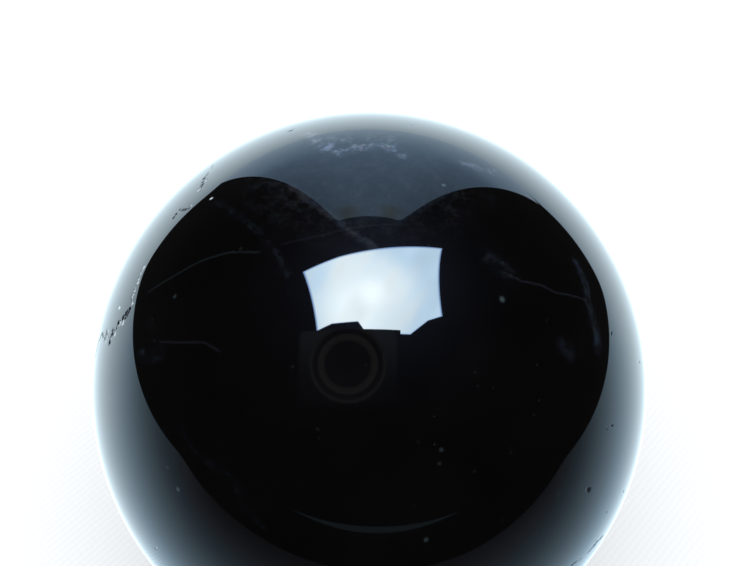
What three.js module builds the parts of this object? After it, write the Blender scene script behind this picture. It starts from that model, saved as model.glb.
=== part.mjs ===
// Polished stone ball: one solid sphere, ground and polished from a single block of
// near-black smoky quartz. Millimetres, +Z up, origin at the centre of the ball.
import * as THREE from 'three';

// Driving dimension
const BALL_DIAMETER = 76; // a three-inch ball, measured across

// How finely the sphere is divided. Both are multiples of 4, so that vertices fall on
// all six axis directions and the facets span the full diameter along X, Y and Z.
const LONGITUDE_STEPS = 72; // around the Z axis; chords stay within 0.04 mm of the round
const LATITUDE_STEPS = 36; // from the top to the bottom

// Finish
const STONE_COLOUR = 0x0b0c0e; // smoky quartz, dark enough to look black
const POLISH_ROUGHNESS = 0.05;

function stoneMaterial() {
  return new THREE.MeshStandardMaterial({
    name: 'smoky_quartz',
    color: STONE_COLOUR,
    roughness: POLISH_ROUGHNESS,
    metalness: 0,
  });
}

// The ball is solid right through: no core, no shell, no bore and no flat. The sphere's
// poles come out along Y, so it is turned once to put them on the Z axis.
function ballMesh() {
  const sphere = new THREE.SphereGeometry(BALL_DIAMETER / 2, LONGITUDE_STEPS, LATITUDE_STEPS);
  sphere.rotateX(Math.PI / 2);
  const ball = new THREE.Mesh(sphere, stoneMaterial());
  ball.name = 'ball';
  return ball;
}

const stoneBall = new THREE.Group();
stoneBall.name = 'stone_ball';
stoneBall.add(ballMesh());

export default stoneBall;
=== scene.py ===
# Polished ball of smoky quartz, with its veils, its old chipped crack and its pits.
import math

import bpy
import numpy as np
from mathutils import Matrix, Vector


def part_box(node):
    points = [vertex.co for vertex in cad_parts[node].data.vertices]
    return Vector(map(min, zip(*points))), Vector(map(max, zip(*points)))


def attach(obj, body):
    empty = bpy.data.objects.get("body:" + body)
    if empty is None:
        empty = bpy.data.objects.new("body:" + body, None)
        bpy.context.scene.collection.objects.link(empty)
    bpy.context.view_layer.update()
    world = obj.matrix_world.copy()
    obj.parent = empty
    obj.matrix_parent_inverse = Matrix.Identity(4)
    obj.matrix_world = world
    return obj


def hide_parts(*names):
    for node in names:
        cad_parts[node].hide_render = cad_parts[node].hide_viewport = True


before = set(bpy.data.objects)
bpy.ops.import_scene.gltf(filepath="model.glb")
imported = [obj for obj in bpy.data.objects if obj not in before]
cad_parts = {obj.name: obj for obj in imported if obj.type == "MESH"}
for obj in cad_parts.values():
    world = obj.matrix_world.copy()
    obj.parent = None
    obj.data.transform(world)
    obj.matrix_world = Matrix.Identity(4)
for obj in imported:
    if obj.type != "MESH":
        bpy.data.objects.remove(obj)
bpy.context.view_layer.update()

mm = 0.001
ballLow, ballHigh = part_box("ball")
ballMiddle = (ballLow + ballHigh) / 2
ballRadius = (ballHigh.x - ballLow.x) / 2
scene = bpy.context.scene
print("frame loaded, ball radius", round(ballRadius / mm, 2), "mm")


def outward(azimuth, elevation):
    # unit vector: azimuth 0 faces -Y and 90 faces +X, elevation is up from the ball's waist, both in degrees
    a, e = np.broadcast_arrays(np.radians(azimuth), np.radians(elevation))
    return np.stack([np.sin(a) * np.cos(e), -np.cos(a) * np.cos(e), np.sin(e)], axis=-1)


def onBall(mark):
    # a mark's place on the surface, in metres from the middle of the ball
    return outward(*mark) * ballRadius


def smooth(low, high, value):
    # 0 below low, 1 above high, an S-curve between
    t = np.clip((value - low) / (high - low), 0, 1)
    return t * t * (3 - 2 * t)


def crowdedAngles(low, high, count, crowds):
    # angles that lie closer together round each crowd: the running total of a density,
    # 1 plus a flat-topped bell for each crowd, is cut into equal steps
    fine = np.linspace(low, high, 8001)
    density = np.ones_like(fine)
    for crowd in crowds:
        density += crowd["gain"] * np.exp(-((fine - crowd["at"]) / crowd["spread"]) ** 4)
    total = np.concatenate([[0], np.cumsum((density[1:] + density[:-1]) / 2)])
    return np.interp(np.linspace(0, total[-1], count), total, fine)


def waves(points, size, seed, count=24):
    # smooth seeded noise between about -1 and 1: a sum of sine waves that run in random directions,
    # each about one size long, divided by the square root of half their number
    chance = np.random.default_rng(seed)
    directions = chance.normal(size=(count, 3))
    directions /= np.linalg.norm(directions, axis=1, keepdims=True)
    lengths = size * chance.uniform(0.6, 1.6, count)
    phases = chance.uniform(0, 2 * math.pi, count)
    turns = points @ (directions * (2 * math.pi / lengths)[:, None]).T + phases
    return np.sin(turns).sum(axis=-1) / math.sqrt(count / 2)


def pathPlace(points, path):
    # where every point lies against the nearest of the straight stretches between the marks of a path:
    # its distance across that stretch, with a sign for the side, and how far past the stretch's ends it is
    nearest = np.full(points.shape[:-1], np.inf)
    across = nearest.copy()
    beyond = nearest.copy()
    for start, end in zip(path[:-1], path[1:]):
        sideways = np.cross(start, end)
        sideways /= np.linalg.norm(sideways)
        length = np.linalg.norm(end - start)
        along = (points - start) @ (end - start) / length
        aside = points @ sideways
        past = np.maximum(np.maximum(-along, along - length), 0)
        farSide = points @ start < 0
        gap = np.hypot(aside, past) + farSide * ballRadius
        closer = gap < nearest
        nearest = np.where(closer, gap, nearest)
        across = np.where(closer, aside, across)
        beyond = np.where(closer, past + farSide * ballRadius, beyond)
    return across, beyond


grid = {
    "axis": (-37, -29),      # the grid's pole, along the run of the crack, so that rows cross the crack
    "middle": (-94, 45),     # longitude zero, at the middle of the crack
    "rows": 285,
    "columns": 340,
    "rowCrowds": [{"at": 0, "spread": 27, "gain": 4.0}],
    "columnCrowds": [{"at": 0, "spread": 8, "gain": 7.0}, {"at": -103, "spread": 24, "gain": 2.0},
                     {"at": -54, "spread": 80, "gain": 0.8}],
}

# stretches of the old crack: where it runs, how wide and deep its groove is, the chips along it,
# and the share of the chips that are crushed to white frost, whose white also paints the glints they catch
crack = [
    {"path": [(-127, 50), (-125, 51)], "groove": 0.12, "deep": 0.06,
     "chips": 2, "size": (0.12, 0.20), "scatter": 0.05, "frostAndGlint": 0.0},
    {"path": [(-122, 52), (-119, 53), (-116, 54), (-113, 55)], "groove": 0.10, "deep": 0.08,
     "chips": 9, "size": (0.14, 0.30), "scatter": 0.17, "frostAndGlint": 0.3},
    {"path": [(-106, 55), (-105, 54), (-106, 52), (-104, 51)], "groove": 0.08, "deep": 0.06,
     "chips": 9, "size": (0.13, 0.28), "scatter": 0.15, "frostAndGlint": 0.2},
    {"path": [(-90, 46), (-88, 45), (-85, 44), (-83, 43), (-81, 43)], "groove": 0.10,
     "deep": 0.05, "chips": 13, "size": (0.12, 0.22), "scatter": 0.06, "frostAndGlint": 0.75},
    {"path": [(-80, 42), (-79, 41), (-80, 38), (-79, 36), (-79, 34)],
     "groove": 0.13, "deep": 0.10, "chips": 16, "size": (0.16, 0.42), "scatter": 0.24, "frostAndGlint": 0.12},
    {"path": [(-79, 34), (-81, 31), (-84, 29), (-84, 26), (-83, 24), (-82, 23)],
     "groove": 0.16, "deep": 0.11, "chips": 6, "size": (0.16, 0.30), "scatter": 0.08, "frostAndGlint": 0.1},
]

chips = {
    "shake": 0.10,        # mm that a groove wanders from its path
    "shakeSize": 0.9,     # mm from one bend to the next
    "deepShare": 0.3,     # depth of a chip over its size
    "tilt": 0.9,
    "white": 0.9,         # frost of a crushed chip, painted white, which is also its painted glint
    "frostAndGlintRise": 0.04,    # mm of depth over which the frost and its painted glint set in
    "seed": 41,
}

# single hollows: a shallow bowl at the foot of the crack, bright nicks and dark pits. The bowl and the
# bright nicks are painted white, as frost and as painted glints. Pull is how far round a small one the
# surface grid is drawn in towards it, in mm
hollows = [
    {"at": (-81, 32), "size": 0.75, "deep": 0.13, "tilt": 0.5, "frostAndGlint": 0.4},
    {"at": (-84, 38), "size": 0.26, "deep": 0.06, "tilt": 0.8, "frostAndGlint": 0.9},
    {"at": (-107, 60), "size": 0.18, "deep": 0.06, "tilt": 0.8, "frostAndGlint": 1.0, "pull": 2.0},
    {"at": (73, 40), "size": 0.16, "deep": 0.08, "tilt": 0.3, "pull": 2.6},
    {"at": (77, 26), "size": 0.16, "deep": 0.08, "tilt": 0.2, "pull": 2.6},
    {"at": (57, 31), "size": 0.22, "deep": 0.11, "tilt": 0.3, "pull": 1.6},
    {"at": (55, 32), "size": 0.14, "deep": 0.06, "tilt": 0.3, "pull": 1.3},
    {"at": (45, 26), "size": 0.38, "deep": 0.19, "tilt": 0.4, "pull": 3.0},
    {"at": (56, 12), "size": 0.17, "deep": 0.07, "tilt": 0.2, "pull": 2.6},
    {"at": (49, 15), "size": 0.14, "deep": 0.06, "tilt": 0.2, "pull": 2.6},
    {"at": (41, 9), "size": 0.24, "deep": 0.12, "tilt": 0.3, "pull": 1.8},
    {"at": (-43, 13), "size": 0.22, "deep": 0.09, "tilt": 0.2, "pull": 2.6},
    {"at": (161, 63), "size": 0.24, "deep": 0.07, "tilt": 0.3, "pull": 2.6},
    {"at": (-151, 59), "size": 0.22, "deep": 0.07, "tilt": 0.3, "pull": 2.6},
]

# hairline cracks low on the right
hairlines = [
    {"path": [(48, 7), (46, 8), (44, 8)], "groove": 0.17, "deep": 0.11, "pull": 1.3},
    {"path": [(40, 10), (38, 10), (36, 10)], "groove": 0.15, "deep": 0.10, "pull": 1.2},
]

pullPower = 2.1     # a point that lies r from a pull's middle moves to pull * (r / pull) ** pullPower


def sphereDirections():
    # unit vectors on a grid of latitude and longitude whose pole lies along the crack
    axis = outward(*grid["axis"])
    middle = outward(*grid["middle"])
    middle -= axis * (middle @ axis)
    middle /= np.linalg.norm(middle)
    side = np.cross(axis, middle)
    latitudes = np.radians(crowdedAngles(-90, 90, grid["rows"] + 2, grid["rowCrowds"]))[1:-1, None]
    longitudes = np.radians(crowdedAngles(-180, 180, grid["columns"] + 1, grid["columnCrowds"]))[None, :-1]
    x = np.cos(latitudes) * np.cos(longitudes)
    y = np.cos(latitudes) * np.sin(longitudes)
    z = np.sin(latitudes) * np.ones_like(longitudes)
    directions = x[..., None] * middle + y[..., None] * side + z[..., None] * axis
    pulls = [(hollow["at"], hollow["pull"]) for hollow in hollows if "pull" in hollow]
    pulls += [(mark, line["pull"]) for line in hairlines for mark in line["path"]]
    for mark, reach in pulls:
        toward = outward(*mark)
        away = directions - toward
        share = np.linalg.norm(away, axis=-1) * ballRadius / (reach * mm)
        inward = np.where(share < 1, np.clip(share, 1e-4, 1) ** (pullPower - 1), 1.0)
        directions = toward + away * inward[..., None]
        directions /= np.linalg.norm(directions, axis=-1, keepdims=True)
    return directions, axis


def chipDepth(points, centre, size, deep, tilt, chance):
    # a shell-shaped chip: deepest near its middle, tilted to one side, with a lobed outline and ripples.
    # depth = deep * sqrt(1 - (r / outline)^2) * (1 + tilt * u), where u runs across the chip
    up = centre / np.linalg.norm(centre)
    across = np.cross(up, chance.normal(size=3))
    across /= np.linalg.norm(across)
    along = np.cross(up, across)
    offset = points - centre
    u = offset @ across
    v = offset @ along
    angle = np.arctan2(v, u)
    lobes = 1 + 0.24 * np.sin(2 * angle + chance.uniform(0, 6))
    lobes = lobes + 0.16 * np.sin(5 * angle + chance.uniform(0, 6))
    reach = np.hypot(u, v) / (size * lobes)
    near = (offset @ up) > -4 * size
    inside = np.clip(1 - reach ** 2, 0, 1) * near
    ripples = 1 + 0.16 * np.sin(9 * reach + chance.uniform(0, 6))
    return deep * np.sqrt(inside) * np.clip(1 + tilt * u / size, 0.15, None) * ripples


def brokenSurface(directions):
    # how far each grid point lies under the polished surface, the deepest of every groove, chip and hollow,
    # and how frosted it is: white crushed frost that also paints the glints of the chips
    points = directions * ballRadius
    bends = [waves(points, chips["shakeSize"] * mm, seed) for seed in (11, 12, 13)]
    shaken = points + chips["shake"] * mm * np.stack(bends, axis=-1)
    frostAndGlintRise = chips["frostAndGlintRise"] * mm
    chance = np.random.default_rng(chips["seed"])
    depth = np.zeros(points.shape[:-1])
    frostAndGlint = np.zeros_like(depth)
    for stretch in crack:
        path = np.array([onBall(mark) for mark in stretch["path"]])
        gap = np.hypot(*pathPlace(shaken, path))
        groove = stretch["groove"] * mm
        depth = np.maximum(depth, stretch["deep"] * mm * np.clip(1 - gap / groove, 0, 1))
        for place in np.linspace(0, len(path) - 1, stretch["chips"]):
            step = min(int(place), len(path) - 2)
            centre = path[step] + (path[step + 1] - path[step]) * (place - step)
            centre = centre + chance.normal(size=3) * stretch["scatter"] * mm
            centre *= ballRadius / np.linalg.norm(centre)
            size = chance.uniform(*stretch["size"]) * mm
            chip = chipDepth(points, centre, size, size * chips["deepShare"], chips["tilt"], chance)
            # a crushed chip is painted white, as frost and as the glint it catches
            white = chips["white"] if chance.random() < stretch["frostAndGlint"] else 0.0
            frostAndGlint = np.where(chip > depth, white * smooth(0, frostAndGlintRise, chip), frostAndGlint)
            depth = np.maximum(depth, chip)
    for line in hairlines:
        gap = np.hypot(*pathPlace(shaken, np.array([onBall(mark) for mark in line["path"]])))
        depth = np.maximum(depth, line["deep"] * mm * np.clip(1 - gap / (line["groove"] * mm), 0, 1))
    for hollow in hollows:
        chip = chipDepth(points, onBall(hollow["at"]), hollow["size"] * mm, hollow["deep"] * mm,
                         hollow["tilt"], chance)
        frostAndGlint = np.where(chip > depth, hollow.get("frostAndGlint", 0) * smooth(0, frostAndGlintRise, chip), frostAndGlint)
        depth = np.maximum(depth, chip)
    return depth, frostAndGlint


def veilField(points, layer):
    # for each grid point, from the veil of a layer that lies nearest in its own width: the distance
    # across it, the distance past its end and its half width, in mm, then its colour and its lace
    nearest = np.full(points.shape[:-1], np.inf)
    shape = np.ones(points.shape)
    tint = np.zeros(points.shape[:-1] + (4,))
    for veil in veils:
        if veil.get("layer", 0) != layer:
            continue
        across, beyond = pathPlace(points, np.array([onBall(mark) for mark in veil["path"]]))
        reach = (1.5 * veil["wide"] + 0.4 * veil["lace"] * stone["tear"] + 0.5) * mm
        share = np.hypot(across, beyond) / reach
        near = (1 - smooth(0.8, 1.2, share)) * veil["strength"]
        closer = share < nearest
        nearest = np.where(closer, share, nearest)
        wide = np.full_like(across, veil["wide"])
        shape[closer] = np.stack([across / mm, beyond / mm, wide], axis=-1)[closer]
        glow = near[..., None] * np.array(veilColours[veil["colour"]])
        tint[closer] = np.concatenate([glow, np.full(glow.shape[:-1] + (1,), veil["lace"])], axis=-1)[closer]
    return shape, tint


def closedBall(name):
    # point = direction * (radius - depth), rows and columns joined by quads, each pole closed by a fan
    directions, axis = sphereDirections()
    depth, frostAndGlint = brokenSurface(directions)
    rows, columns = depth.shape
    shell = directions * (ballRadius - depth)[..., None]
    points = np.concatenate([shell.reshape(-1, 3), [-axis * ballRadius], [axis * ballRadius]])
    points += np.array(ballMiddle)
    number = np.arange(rows * columns).reshape(rows, columns)
    right = np.roll(number, -1, axis=1)
    quads = np.stack([number[:-1], right[:-1], right[1:], number[1:]], axis=-1).reshape(-1, 4)
    southPole = rows * columns
    south = np.stack([np.full(columns, southPole), right[0], number[0]], axis=-1)
    north = np.stack([number[-1], right[-1], np.full(columns, southPole + 1)], axis=-1)
    mesh = bpy.data.meshes.new(name)
    mesh.from_pydata(points, [], quads.tolist() + south.tolist() + north.tolist())
    broken = np.concatenate([smooth(0.004 * mm, 0.03 * mm, depth).ravel(), [0, 0]])
    mesh.attributes.new("broken", "FLOAT", "POINT").data.foreach_set("value", broken)
    # white of crushed frost, which also paints the glints along the crack
    mesh.attributes.new("frostAndGlint", "FLOAT", "POINT").data.foreach_set("value", [*frostAndGlint.ravel(), 0, 0])
    poles = np.array([-axis, axis]) * ballRadius
    surface = np.concatenate([(directions * ballRadius).reshape(-1, 3), poles])
    for layer in (0, 1):
        shape, tint = veilField(surface, layer)
        shapes = mesh.attributes.new(f"veilShape{layer}", "FLOAT_VECTOR", "POINT")
        shapes.data.foreach_set("vector", shape.ravel())
        tints = mesh.attributes.new(f"veilTint{layer}", "FLOAT_COLOR", "POINT")
        tints.data.foreach_set("color", tint.ravel())
    faceBroken = broken[quads].mean(axis=1)
    polished = np.concatenate([faceBroken < 0.6, np.ones(2 * columns, bool)])
    mesh.polygons.foreach_set("use_smooth", polished)
    mesh.update()
    # polished corners take the true sphere's normal, so that reflections run straight across the grid
    corners = np.empty(len(mesh.loops), np.int32)
    mesh.loops.foreach_get("vertex_index", corners)
    faces = np.arange(len(mesh.polygons))
    cornerFace = np.repeat(faces, np.where(faces < len(quads), 4, 3))
    clean = polished[cornerFace] & (broken[corners] < 0.01)
    normals = surface[corners] / ballRadius
    vertexNormals = np.empty(len(mesh.vertices) * 3, np.float32)
    mesh.vertices.foreach_get("normal", vertexNormals)
    normals = np.where(clean[:, None], normals, vertexNormals.reshape(-1, 3)[corners])
    normals = np.where(polished[cornerFace][:, None], normals, 0.0)
    mesh.normals_split_custom_set(normals.tolist())
    ball = bpy.data.objects.new(name, mesh)
    scene.collection.objects.link(ball)
    return ball


stone = {
    "body": (0.0002, 0.0002, 0.0003),       # nearly black
    "smoke": (0.0010, 0.0008, 0.0010),      # thin smoke in the body
    "smokeSize": 16,                        # mm
    "polish": 0.02,
    "index": 1.544,
    # colour of the dust and of the specks' painted glints
    "moteAndGlintColour": (0.62, 0.88, 1.0),
    "tear": 4.0,                            # mm that a veil's edge wanders, times its lace
    "haze": {"toward": (180, 75), "full": 12, "gone": 27, "colour": (0.64, 0.76, 0.95), "strength": 0.024},
    "brokenColour": (0.008, 0.009, 0.012),
    "brokenPolish": 0.22,
    "frostAndGlintColour": (0.62, 0.70, 0.76),      # crushed flakes along the crack, painted white also as their glints
}

veilColours = {
    "lavender": (0.62, 0.72, 1.0),
    "blueGrey": (0.45, 0.66, 1.0),
    "teal": (0.62, 0.90, 1.0),
}

# veils and threads: path, half width in mm, strength, how much of it is cut away to lace, and colour.
# veils that cross or touch are kept in different layers
veils = [
    # the torn veil near the top, at the back, with a broader one under it
    {"path": [(-154, 64), (-155, 68), (-156, 72), (-156, 74), (-162, 76), (-172, 75),
              (-179, 75), (174, 74), (168, 74), (161, 75), (154, 76)],
     "wide": 0.85, "strength": 0.17, "lace": 0.485, "colour": "lavender"},
    {"path": [(-158, 70), (-170, 72), (178, 72), (168, 72)], "wide": 2.0, "strength": 0.10, "lace": 0.51,
     "colour": "lavender", "layer": 1},
    {"path": [(127, 68), (122, 66), (118, 63)], "wide": 0.7, "strength": 0.10, "lace": 0.48,
     "colour": "lavender"},
    # two dusty beams and the threads that cross them
    {"path": [(-104, 62), (-93, 68), (-76, 72), (-57, 73), (-45, 72)], "wide": 0.42,
     "strength": 0.009, "lace": 0.47, "colour": "blueGrey"},
    {"path": [(-113, 76), (-93, 81), (-55, 84), (-13, 83), (7, 81)], "wide": 0.46,
     "strength": 0.017, "lace": 0.40, "colour": "lavender"},
    {"path": [(-80, 48), (-79, 54), (-78, 61), (-75, 66), (-66, 71)], "wide": 0.16,
     "strength": 0.007, "lace": 0.0, "colour": "teal", "layer": 1},
    {"path": [(-64, 48), (-58, 52), (-53, 55), (-47, 56)], "wide": 0.17, "strength": 0.005,
     "lace": 0.0, "colour": "lavender", "layer": 1},
    {"path": [(-64, 74), (-51, 80), (-29, 84), (22, 85), (56, 82)], "wide": 0.14,
     "strength": 0.004, "lace": 0.1, "colour": "lavender", "layer": 1},
    # the wisp, its thread and the feather on the right
    {"path": [(66, 68), (65, 66), (64, 64)], "wide": 1.1, "strength": 0.013, "lace": 0.49,
     "colour": "blueGrey"},
    {"path": [(64, 65), (65, 62), (69, 58), (70, 55), (73, 52), (75, 48)], "wide": 0.16,
     "strength": 0.008, "lace": 0.24, "colour": "lavender", "layer": 1},
    {"path": [(85, 51), (81, 49), (77, 48), (72, 46), (69, 44), (66, 43)], "wide": 0.72,
     "strength": 0.022, "lace": 0.46, "colour": "blueGrey"},
    {"path": [(58, 50), (58, 48)], "wide": 0.95, "strength": 0.006, "lace": 0.38, "colour": "blueGrey"},
    {"path": [(61, 46), (61, 43)], "wide": 0.5, "strength": 0.004, "lace": 0.5, "colour": "lavender",
     "layer": 1},
    # clouds and glints on the left
    {"path": [(-66, 43), (-63, 45), (-61, 48)], "wide": 0.7, "strength": 0.014, "lace": 0.5,
     "colour": "blueGrey"},
    {"path": [(-72, 47), (-68, 48)], "wide": 0.45, "strength": 0.012, "lace": 0.52,
     "colour": "lavender"},
    {"path": [(-45, 42), (-40, 40), (-36, 40), (-29, 40), (-25, 36), (-21, 34)], "wide": 0.48,
     "strength": 0.010, "lace": 0.545, "colour": "blueGrey"},
    # on the sides that face away: a healed crack round the back, a cloud low down and a short feather
    {"path": [(-172, 38), (-158, 22), (-146, 4), (-140, -16)], "wide": 0.9, "strength": 0.05, "lace": 0.44,
     "colour": "lavender"},
    {"path": [(-166, 33), (-150, 12), (-143, -8)], "wide": 2.6, "strength": 0.014, "lace": 0.46,
     "colour": "blueGrey", "layer": 1},
    {"path": [(150, 10), (128, 2), (112, -12)], "wide": 0.4, "strength": 0.03, "lace": 0.3,
     "colour": "blueGrey"},
    {"path": [(128, 2), (122, 14), (120, 24)], "wide": 1.1, "strength": 0.02, "lace": 0.42, "colour": "teal",
     "layer": 1},
    {"path": [(10, -22), (28, -34), (52, -38)], "wide": 1.2, "strength": 0.02, "lace": 0.46,
     "colour": "lavender"},
    {"path": [(-20, 6), (-8, -2), (6, -4)], "wide": 0.35, "strength": 0.012, "lace": 0.25,
     "colour": "blueGrey"},
]

# specks: tiny fractures inside, painted bright as the glints they catch. Place, radius in mm, strength
glintSpecks = [
    ((54, 63), 0.36, 0.050), ((16, 48), 0.26, 0.018), ((15, 46), 0.22, 0.012),
    ((10, 34), 0.30, 0.024), ((22, 43), 0.20, 0.006), ((31, 43), 0.20, 0.005),
    ((31, 57), 0.20, 0.006), ((11, 50), 0.18, 0.005), ((40, 46), 0.20, 0.006),
    ((38, 31), 0.22, 0.012), ((25, 33), 0.20, 0.006), ((-72, 54), 0.28, 0.024),
    ((-74, 68), 0.24, 0.010), ((-24, 60), 0.20, 0.006), ((-40, 32), 0.28, 0.05),
    ((-44, 34), 0.22, 0.02), ((-63, 25), 0.22, 0.03), ((-13, 52), 0.20, 0.006),
    ((112, 76), 0.28, 0.09), ((-74, 30), 0.22, 0.05), ((-76, 24), 0.22, 0.05),
    ((-67, 30), 0.22, 0.06),
]

dust = {"apart": 1.6, "radius": 0.15, "strength": 0.022}    # mm, mm


def add(tree, kind, settings=None, inputs=None):
    # one shader node, with its settings and with its inputs set or linked by name or number
    made = tree.nodes.new(kind)
    for name, value in (settings or {}).items():
        setattr(made, name, value)
    for name, value in (inputs or {}).items():
        if isinstance(value, bpy.types.NodeSocket):
            tree.links.new(value, made.inputs[name])
        else:
            made.inputs[name].default_value = value
    return made


def calculate(tree, operation, *values):
    made = add(tree, "ShaderNodeMath", {"operation": operation}, dict(enumerate(values)))
    return made.outputs[0]


def vector(tree, operation, *values, **named):
    made = add(tree, "ShaderNodeVectorMath", {"operation": operation}, dict(enumerate(values)))
    for name, value in named.items():
        if isinstance(value, bpy.types.NodeSocket):
            tree.links.new(value, made.inputs[name])
        else:
            made.inputs[name].default_value = value
    givesNumber = operation in ("DOT_PRODUCT", "DISTANCE")
    return made.outputs["Value" if givesNumber else "Vector"]


def between(tree, value, low, high, atLow=0.0, atHigh=1.0, kind="SMOOTHSTEP"):
    made = add(tree, "ShaderNodeMapRange", {"interpolation_type": kind},
               {"Value": value, "From Min": low, "From Max": high, "To Min": atLow, "To Max": atHigh})
    return made.outputs["Result"]


def noise(tree, place, scale, detail=4.0, rough=0.55, output="Factor"):
    made = add(tree, "ShaderNodeTexNoise", None,
               {"Vector": place, "Scale": scale, "Detail": detail, "Roughness": rough})
    return made.outputs[0 if output == "Factor" else 1]


def veilPattern(tree, place):
    # for each layer, the distance to the nearest veil, shaken where it is lacy, turned into a band of its
    # half width, cut away where the noise is low and coloured with the stored tint; plus a thin haze
    fray = calculate(tree, "SUBTRACT", noise(tree, place, 1.1, 7.0, 0.68), 0.5)
    lace = noise(tree, vector(tree, "ADD", place, (17.0, 5.0, 0.0)), 0.9, 8.0, 0.74)
    hues = noise(tree, vector(tree, "ADD", place, (3.0, 31.0, 9.0)), 0.9, 3.0, output="Color")
    hues = vector(tree, "MULTIPLY_ADD", hues, (1.2, 0.7, 1.2), (0.4, 0.65, 0.4))
    haze = stone["haze"]
    toward = vector(tree, "DOT_PRODUCT", vector(tree, "NORMALIZE", place), tuple(outward(*haze["toward"])))
    gone = math.cos(math.radians(haze["gone"]))
    full = math.cos(math.radians(haze["full"]))
    region = between(tree, toward, gone, full)
    patches = between(tree, noise(tree, place, 0.6, 9.0, 0.82), 0.42, 0.80, 0.0, haze["strength"])
    total = vector(tree, "SCALE", haze["colour"], Scale=calculate(tree, "MULTIPLY", region, patches))
    for layer in (0, 1):
        shape = add(tree, "ShaderNodeAttribute", {"attribute_name": f"veilShape{layer}"}).outputs["Vector"]
        across, beyond, wide = add(tree, "ShaderNodeSeparateXYZ", None, {0: shape}).outputs
        tint = add(tree, "ShaderNodeAttribute", {"attribute_name": f"veilTint{layer}"}).outputs
        shake = calculate(tree, "MULTIPLY", tint["Alpha"], stone["tear"])
        across = calculate(tree, "MULTIPLY_ADD", fray, shake, across)
        squares = calculate(tree, "MULTIPLY", beyond, beyond)
        squares = calculate(tree, "MULTIPLY_ADD", across, across, squares)
        share = calculate(tree, "DIVIDE", calculate(tree, "SQRT", squares), wide)
        body = between(tree, share, 1.5, 0.0)
        holes = between(tree, calculate(tree, "SUBTRACT", lace, tint["Alpha"]), -0.06, 0.17, 0.05)
        part = vector(tree, "SCALE", tint["Color"], Scale=calculate(tree, "MULTIPLY", body, holes))
        total = vector(tree, "ADD", total, part)
    return vector(tree, "MULTIPLY", total, hues)


def dustMask(tree, place):
    # round motes at the middles of scattered cells, each with a brightness of its own
    cells = add(tree, "ShaderNodeTexVoronoi", None, {"Vector": place, "Scale": 1 / dust["apart"]})
    mote = between(tree, cells.outputs["Distance"], dust["radius"] / dust["apart"], 0.0)
    own = add(tree, "ShaderNodeSeparateColor", None, {0: cells.outputs["Color"]}).outputs[0]
    own = calculate(tree, "POWER", own, 3.0)
    return calculate(tree, "MULTIPLY", calculate(tree, "MULTIPLY", mote, own), dust["strength"])


def smokyQuartz():
    # opaque near-black body with thin smoke; veils are masks round paths, cut by noise; specks and dust are
    # round masks, and the specks are painted glints of tiny fractures; broken places are greyer and less
    # polished, and crushed flakes are white, which also paints their glints
    material = bpy.data.materials.new("smokyQuartz")
    material.use_nodes = True
    tree = material.node_tree
    surface = tree.nodes["Principled BSDF"]
    surface.inputs["IOR"].default_value = stone["index"]
    place = tree.nodes.new("ShaderNodeTexCoord").outputs["Object"]
    place = vector(tree, "SCALE", place, Scale=1 / mm)
    motesAndGlints = dustMask(tree, place)
    # each speck adds a painted glint of a tiny fracture
    for at, radius, strength in glintSpecks:
        gap = vector(tree, "DISTANCE", place, tuple(onBall(at) / mm))
        mask = calculate(tree, "MULTIPLY", between(tree, gap, radius * 1.4, 0.0), strength)
        motesAndGlints = calculate(tree, "ADD", motesAndGlints, mask)
    smoke = between(tree, noise(tree, place, 1 / stone["smokeSize"], 5.0, 0.6), 0.42, 0.70)
    colour = add(tree, "ShaderNodeMix", {"data_type": "RGBA"},
                 {0: smoke, 6: (*stone["body"], 1), 7: (*stone["smoke"], 1)}).outputs[2]
    colour = vector(tree, "ADD", colour, vector(tree, "SCALE", stone["moteAndGlintColour"], Scale=motesAndGlints))
    colour = vector(tree, "ADD", colour, veilPattern(tree, place))
    broken = add(tree, "ShaderNodeAttribute", {"attribute_name": "broken"}).outputs["Fac"]
    frostAndGlint = add(tree, "ShaderNodeAttribute", {"attribute_name": "frostAndGlint"}).outputs["Fac"]
    colour = add(tree, "ShaderNodeMix", {"data_type": "RGBA"},
                 {0: broken, 6: colour, 7: (*stone["brokenColour"], 1)}).outputs[2]
    # crushed frost painted white, standing also for the glints along the crack
    colour = add(tree, "ShaderNodeMix", {"data_type": "RGBA"},
                 {0: frostAndGlint, 6: colour, 7: (*stone["frostAndGlintColour"], 1)}).outputs[2]
    tree.links.new(colour, surface.inputs["Base Color"])
    tree.links.new(between(tree, broken, 0.0, 1.0, stone["polish"], stone["brokenPolish"], "LINEAR"),
                   surface.inputs["Roughness"])
    return material


camera = {"place": (0, -60.4, 104.6), "aim": (1.3, 12.2, 7.0), "lens": 39.6}   # mm

room = {
    "world": (0.97, 0.985, 1.0),
    "worldStrength": 1.34,
    "cloth": (0.92, 0.93, 0.94),
    "clothRib": 1.0,                      # mm from rib to rib
    "dark": (0.026, 0.026, 0.027),
    "darkWarmth": (0.010, 0.006, 0.007),
    "domeRadius": 3.0,
    "tableRadius": 3.2,
}

# the white cloth seen from above: its corners in metres, x to the right and y away from the camera
cloth = {
    "corners": [(-2.1, 3.0), (-0.27, 0.18), (-1.0, -0.42), (-0.25, -0.32), (0.12, -0.22), (0.43, -0.19),
                (0.25, 0.13), (2.3, 2.9)],
    "rounding": 3.0,        # degrees over which a corner is softened
}

# the person who holds the camera shades the cloth on their own side
shade = {
    "middle": 4,            # azimuth it is centred on
    "near": 1.95,           # light on the cloth beside the ball
    "farFront": 0.05,       # and far from it, in front and behind
    "farBack": 1.6,
    "farTurn": (50, 165),
    "holdFront": 0.037,     # metres at which the light has fallen halfway, in front and behind
    "holdBack": 0.8,
    "power": 2.3,
}

# the opening to the light room behind: its azimuths at the foot and at the top of each side, and its height
opening = {"right": (137, 163), "left": (196, 214), "foot": -2, "top": 55}

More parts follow.
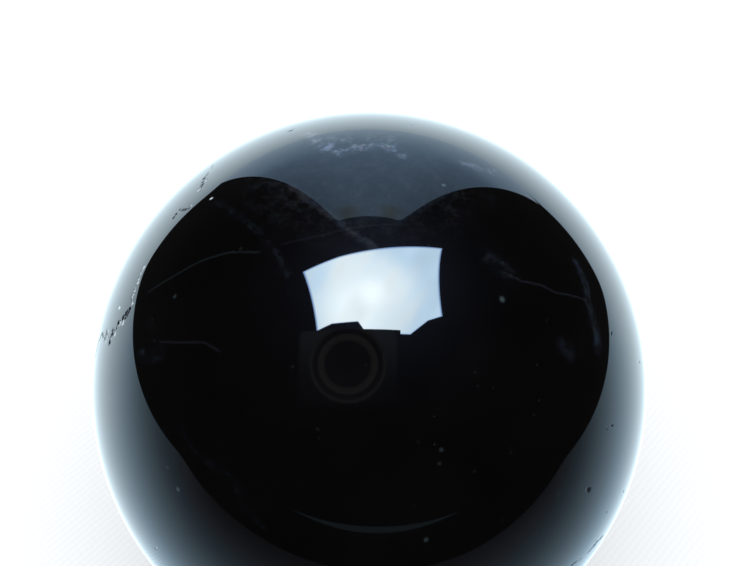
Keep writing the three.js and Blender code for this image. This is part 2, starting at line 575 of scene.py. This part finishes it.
# the wall seen through it: brighter towards the floor
wall = {
    "light": 0.92,
    "lowLight": 0.65,
    "fade": 10,
    "foot": -3,
    "middle": 178,          # azimuth
    "sideShade": 0.25,      # how much darker its two sides are
    "apart": 11,            # degrees from its middle to each of two brownish patches near its top
    "brown": (0.10, 0.22, 0.42),
}
polishGain = 1.09    # the ribs and the slightly soft polish take this much away

# a bright panel over the ball. Its near and far edges in metres, seen from above, and its colours
window = {
    "height": 1.0,
    "near": [(-0.35, -0.20), (-0.24, -0.16), (-0.07, -0.155), (-0.015, -0.24), (0.27, -0.24), (0.39, -0.135),
             (0.50, -0.09)],
    "far": [(-0.43, 0.24), (-0.18, 0.31), (0.51, 0.45)],
    "waist": (0.02, -0.037),                # how far its two sides bow in
    "cloud": (17.0, 19.4, 20.4),
    "sky": (9.6, 13.0, 16.2),
    "cloudMiddle": (-0.08, -0.03),
    "spot": {"at": (0.025, 0.035), "radius": 0.09, "gain": 3.0},
    "fringe": (2.5, 4.5, 9.0),
    "halo": {"toward": (0.08, 0.12, 1.0), "spread": 24, "colour": (0.14, 0.19, 0.33)},
}

# a generic lens held over the ball: its direction, and its rings' colours by radius in mm
lens = {
    "toward": (-15, 64),
    "distance": 112,
    "reach": (32, 25),
    "top": 0.82,        # the bright panel hides what is higher
    "barrel": 23.5,
    "bodyColour": (0.070, 0.080, 0.080),
    "rings": [(0, (0.040, 0.040, 0.046)), (13.0, (0.055, 0.050, 0.060)), (14.4, (0.13, 0.13, 0.135)),
              (17.0, (0.15, 0.15, 0.15)), (18.0, (0.055, 0.055, 0.07)), (20.4, (0.06, 0.06, 0.075)),
              (21.4, (0.12, 0.13, 0.13)), (23.5, (0.11, 0.12, 0.12))],
}

# a long thin glow low in front, which the polish shows as a crescent
crescent = {"middle": 1, "half": 28, "height": 5.6, "sink": -0.055, "thick": 1.3, "distance": 2.6,
            "glow": (0.10, 0.145, 0.165)}


def clothReach(azimuths):
    # how far the cloth goes in each direction: where a ray from the ball crosses one of its straight edges,
    # with the corners softened by averaging the logarithm of the distance over nearby azimuths
    ray = outward(azimuths, 0)[:, :2]
    reach = np.zeros(len(azimuths))
    corners = np.array(cloth["corners"])
    for corner, after in zip(corners, np.roll(corners, -1, axis=0)):
        edge = after - corner
        turn = ray[:, 0] * edge[1] - ray[:, 1] * edge[0]
        turn = np.where(np.abs(turn) < 1e-9, 1e-9, turn)
        distance = (corner[0] * edge[1] - corner[1] * edge[0]) / turn
        share = (corner[0] * ray[:, 1] - corner[1] * ray[:, 0]) / turn
        hit = (share > -1e-6) & (share < 1 + 1e-6) & (distance > 0)
        reach = np.where(hit, np.maximum(reach, distance), reach)
    logs = np.log(np.minimum(reach, room["tableRadius"] - 0.05))[:-1]
    step = azimuths[1] - azimuths[0]
    nearby = np.arange(-12, 13)
    weights = np.exp(-(nearby * step / cloth["rounding"]) ** 2)
    soft = sum(np.roll(logs, k) * weight for k, weight in zip(nearby, weights)) / weights.sum()
    return np.exp(np.append(soft, soft[0]))


def channels(at, stops):
    # a colour read off the stops of a ring, channel by channel
    keys = [stop[0] for stop in stops]
    return np.stack([np.interp(at, keys, [stop[1][c] for stop in stops]) for c in range(3)], axis=-1)


def alongEdge(outline, share):
    # points at equal shares of an outline's length
    outline = np.array(outline)
    length = np.concatenate([[0], np.cumsum(np.linalg.norm(np.diff(outline, axis=0), axis=1))])
    return np.stack([np.interp(share * length[-1], length, outline[:, c]) for c in range(2)], axis=-1)


def sheet(name, points, colours):
    # an open grid with a glow colour at each of its points
    rows, columns = points.shape[:2]
    number = np.arange(rows * columns).reshape(rows, columns)
    quads = np.stack([number[:-1, :-1], number[:-1, 1:], number[1:, 1:], number[1:, :-1]], axis=-1)
    mesh = bpy.data.meshes.new(name)
    mesh.from_pydata(points.reshape(-1, 3), [], quads.reshape(-1, 4).tolist())
    colours = np.broadcast_to(colours, (rows, columns, 3))
    glow = np.concatenate([colours, np.ones((rows, columns, 1))], axis=-1)
    mesh.attributes.new("glow", "FLOAT_COLOR", "POINT").data.foreach_set("color", glow.ravel())
    made = bpy.data.objects.new(name, mesh)
    scene.collection.objects.link(made)
    return made


def reflectedOnly(made, material):
    # seen in the polish, and nowhere else
    made.visible_camera = False
    made.visible_diffuse = False
    made.visible_transmission = False
    made.visible_shadow = False
    made.data.materials.append(material)


def ribs(tree, depth):
    # fine diagonal ribs of a woven cloth, between 1 - depth and 1
    place = tree.nodes.new("ShaderNodeTexCoord").outputs["Object"]
    place = vector(tree, "SCALE", place, Scale=1 / mm)
    shake = vector(tree, "SCALE", noise(tree, place, 0.5, 2.0, output="Color"), Scale=0.5)
    place = vector(tree, "ADD", place, shake)
    turn = 2 * math.pi / room["clothRib"] / math.sqrt(2)
    warp = calculate(tree, "SINE", vector(tree, "DOT_PRODUCT", place, (turn, -turn, 0)))
    weft = calculate(tree, "SINE", vector(tree, "DOT_PRODUCT", place, (turn, turn, 0)))
    both = calculate(tree, "ADD", warp, calculate(tree, "MULTIPLY", weft, 0.4))
    return between(tree, both, -1.4, 1.4, 1 - depth, 1.0, "LINEAR")


def glowMaterial(name, ribDepth=0.0):
    # light of the colour stored at each point, with the cloth's ribs in it
    material = bpy.data.materials.new(name)
    material.use_nodes = True
    tree = material.node_tree
    tree.nodes.clear()
    colour = add(tree, "ShaderNodeAttribute", {"attribute_name": "glow"}).outputs["Color"]
    light = add(tree, "ShaderNodeEmission", None, {"Color": colour})
    if ribDepth:
        tree.links.new(ribs(tree, ribDepth), light.inputs["Strength"])
    end = tree.nodes.new("ShaderNodeOutputMaterial")
    tree.links.new(light.outputs[0], end.inputs["Surface"])
    material.cycles.emission_sampling = "NONE"
    return material


def coolTint(light):
    # green is the light itself; red falls behind it and blue runs ahead, less so near white and near dark
    red = 0.70 + 0.12 * smooth(1.1, 2.1, light) + 0.30 * (1 - smooth(0.03, 0.30, light))
    blue = 1.24 - 0.14 * smooth(1.2, 2.1, light) - 0.24 * (1 - smooth(0.03, 0.10, light))
    return np.stack([light * red, light, light * blue], axis=-1)


def clothGlow(points):
    # light = far + (near - far) / (1 + (distance / hold) ** power), where far and hold both grow
    # with the angle turned away from the camera's side
    azimuth = np.degrees(np.arctan2(points[..., 0], -points[..., 1]))
    turned = np.abs((azimuth - shade["middle"] + 180) % 360 - 180)
    distance = np.hypot(points[..., 0], points[..., 1])
    far = shade["farFront"] + (shade["farBack"] - shade["farFront"]) * smooth(*shade["farTurn"], turned)
    hold = shade["holdFront"] * (shade["holdBack"] / shade["holdFront"]) ** smooth(0, 180, turned)
    light = far + (shade["near"] - far) / (1 + (distance / hold) ** shade["power"])
    return coolTint(light * polishGain)


def makeClothAndTable(glow, ribbedGlow):
    # cloth point = distance share^2 * reach, table from the cloth's edge outwards
    azimuths = np.linspace(-180, 180, 481)
    reach = clothReach(azimuths)
    share = np.linspace(0, 1, 120)[:, None] ** 2
    across = outward(azimuths, 0)[None]
    level = np.array([0, 0, ballLow.z - 0.02 * mm])
    spread = across * (share * reach[None])[..., None] + level
    reflectedOnly(sheet("clothReflection", spread, clothGlow(spread)), ribbedGlow)
    edges = np.stack([reach, np.full_like(reach, room["tableRadius"])])
    table = across * edges[..., None] + level
    reflectedOnly(sheet("tableReflection", table, room["dark"]), glow)


def canopyGlow(toward):
    # dim and patchy, with a blue halo round the bright panel
    patches = smooth(0.1, 1.3, waves(toward, 0.9, 21))[..., None]
    halo = window["halo"]
    middle = np.array(halo["toward"]) / np.linalg.norm(halo["toward"])
    angle = np.degrees(np.arccos(np.clip(toward @ middle, -1, 1)))
    veil = np.exp(-(angle / halo["spread"]) ** 2)[..., None] * np.array(halo["colour"])
    return np.array(room["dark"]) + patches * np.array(room["darkWarmth"]) + veil


def makeCanopyAndWall(glow):
    # a dark dome down to the opening's edge, and the light wall that shows through the opening
    circle = np.linspace(-136, 224, 721)
    rise = smooth(*opening["right"], circle) * (1 - smooth(*opening["left"], circle))
    low = opening["foot"] + (opening["top"] - opening["foot"]) * rise
    elevation = low[None] + (90 - low[None]) * np.linspace(0, 1, 70)[:, None]
    canopy = outward(np.broadcast_to(circle, elevation.shape), elevation)
    under = np.clip(1 - (elevation - low[None]) / 9, 0, 1) * (low > 30)[None]
    haze = under[..., None] * np.array((0.05, 0.08, 0.13))
    reflectedOnly(sheet("canopyReflection", canopy * room["domeRadius"], canopyGlow(canopy) + haze), glow)
    sector, height = np.meshgrid(np.linspace(125, 235, 45), np.linspace(-2.5, 62, 60))
    behind = outward(sector, height) * room["domeRadius"] * 1.03
    light = wall["light"] + wall["lowLight"] * np.exp(-(height - wall["foot"]) / wall["fade"])
    aside = np.abs(sector - wall["middle"])
    light = light * (1 - wall["sideShade"] * smooth(8, 26, aside) * smooth(9, 17, height))
    patches = np.abs(sector - wall["middle"] - 1) - wall["apart"]
    brown = np.exp(-(patches / 5) ** 2) * smooth(47.5, 51, height)
    red = 0.74 - 0.09 * smooth(0, 15, height)
    blue = 1.27 + 0.21 * smooth(0, 20, height)
    tint = np.stack([light * red, light, light * blue], axis=-1)
    tint = tint * (1 - brown[..., None] * np.array(wall["brown"]))
    reflectedOnly(sheet("wallReflection", behind, tint), glow)


def makeLens(glow):
    # a generic lens on a rounded body, dim: rings of light and dark by distance from its middle,
    # on a body = 1 inside a rounded square, fading downwards
    toward = outward(*lens["toward"])
    across = np.array((1, 0, 0)) - toward[0] * toward
    across /= np.linalg.norm(across)
    up = np.cross(toward, across)
    u, v = np.meshgrid(np.linspace(-1, 1, 151), np.linspace(-1, lens["top"], 121))
    wide, high = lens["reach"]
    points = (toward * lens["distance"] + (u * wide)[..., None] * across + (v * high)[..., None] * up) * mm
    radius = np.hypot(u * wide, v * high)
    body = (1 - smooth(0.86, 0.98, (u ** 8 + v ** 8) ** (1 / 8))) * (0.2 + 0.8 * smooth(-0.6, 0.8, v))
    away = points / np.linalg.norm(points, axis=-1, keepdims=True)
    colours = canopyGlow(away) + body[..., None] * np.array(lens["bodyColour"])
    rings = channels(radius, lens["rings"])
    inside = (1 - smooth(lens["barrel"] - 1.5, lens["barrel"], radius))[..., None]
    reflectedOnly(sheet("lensReflection", points, colours * (1 - inside) + rings * inside), glow)


def makeWindow(glow):
    # point = near edge * (1 - v) + far edge * v, with its sides bowed in; cloud white in the middle and
    # bluer outwards, with soft streaks, one bright spot and a dark blue fringe
    u, v = np.meshgrid(np.linspace(0, 1, 240), np.linspace(0, 1, 90))
    near = alongEdge(window["near"], u)
    far = alongEdge(window["far"], u)
    flat = near * (1 - v[..., None]) + far * v[..., None]
    left, right = window["waist"]
    flat[..., 0] += (left * (1 - u) + right * u) * 4 * v * (1 - v)
    points = np.concatenate([flat, np.full(flat.shape[:2] + (1,), window["height"])], axis=-1)
    away = flat - np.array(window["cloudMiddle"])
    turned = points @ np.array([[0.5, -0.9, 0], [1.0, 0.55, 0], [0, 0, 1]])
    streaks = waves(turned * np.array([0.45, 1.5, 1]), 0.2, 6)
    clouds = waves(points, 0.4, 5)
    distance = np.hypot(*np.moveaxis(away, -1, 0))
    blue = smooth(0.08, 0.52, distance + 0.035 * clouds + 0.035 * streaks)[..., None]
    colours = np.array(window["cloud"]) * (1 - blue) + np.array(window["sky"]) * blue
    colours = colours * (1 + 0.035 * streaks[..., None])
    spot = window["spot"]
    reach = np.hypot(*np.moveaxis(flat - np.array(spot["at"]), -1, 0)) / spot["radius"]
    colours = colours + spot["gain"] * np.exp(-reach ** 2.5)[..., None]
    rim = np.minimum(np.minimum(u, 1 - u) * 1.4, np.minimum(v * 2.2, 1 - v))
    inner = smooth(0.0, 0.03, rim)[..., None]
    colours = np.array(window["fringe"]) * (1 - inner) + colours * inner
    reflectedOnly(sheet("windowReflection", points, colours), glow)


def makeCrescent(glow):
    # a strip round the front: elevation = height + sink * azimuth, thickest in its middle
    azimuths = np.linspace(-crescent["half"], crescent["half"], 60)
    bow = 1.6 * (1 - (azimuths / crescent["half"]) ** 2)
    middle = crescent["height"] - bow + crescent["sink"] * azimuths
    thick = crescent["thick"] * np.cos(azimuths / crescent["half"] * math.pi / 2)
    elevation = middle + thick * np.array([[-1.0], [1.0]])
    strip = outward(np.broadcast_to(azimuths + crescent["middle"], elevation.shape), elevation)
    reflectedOnly(sheet("crescentReflection", strip * crescent["distance"], crescent["glow"]), glow)


def makeFloor():
    # plain white cloth under the ball
    half = 3.0
    points = np.array([[(-half, -half, 0), (half, -half, 0)], [(-half, half, 0), (half, half, 0)]], float)
    points[..., 2] = ballLow.z - 0.05 * mm
    floor = sheet("floor", points, (1, 1, 1))
    floor.visible_glossy = False
    material = bpy.data.materials.new("whiteCloth")
    material.use_nodes = True
    tree = material.node_tree
    surface = tree.nodes["Principled BSDF"]
    colour = vector(tree, "SCALE", room["cloth"], Scale=ribs(tree, 0.05))
    tree.links.new(colour, surface.inputs["Base Color"])
    surface.inputs["Roughness"].default_value = 0.9
    surface.inputs["Specular IOR Level"].default_value = 0.0
    floor.data.materials.append(material)


def makeLight():
    world = bpy.data.worlds.new("softRoom")
    world.use_nodes = True
    background = world.node_tree.nodes["Background"]
    background.inputs["Color"].default_value = (*room["world"], 1)
    background.inputs["Strength"].default_value = room["worldStrength"]
    scene.world = world
    scene.view_settings.view_transform = "Standard"


def makeCamera():
    data = bpy.data.cameras.new("camera")
    data.lens = camera["lens"]
    data.sensor_width = 36
    data.clip_start = 0.005
    data.clip_end = 20
    view = bpy.data.objects.new("camera", data)
    scene.collection.objects.link(view)
    view.location = Vector(camera["place"]) * mm
    view.rotation_mode = "QUATERNION"
    view.rotation_quaternion = (Vector(camera["aim"]) * mm - view.location).to_track_quat("-Z", "Y")
    scene.camera = view


makeCamera()
makeLight()
makeFloor()
roomLight = glowMaterial("roomLight")
makeClothAndTable(roomLight, glowMaterial("clothLight", 0.12))
makeCanopyAndWall(roomLight)
makeWindow(roomLight)
makeLens(roomLight)
makeCrescent(roomLight)
print("stage made")

ball = closedBall("quartzBall")
ball.data.materials.append(smokyQuartz())
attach(ball, "root")
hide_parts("ball")
print("ball made,", len(ball.data.polygons), "faces")
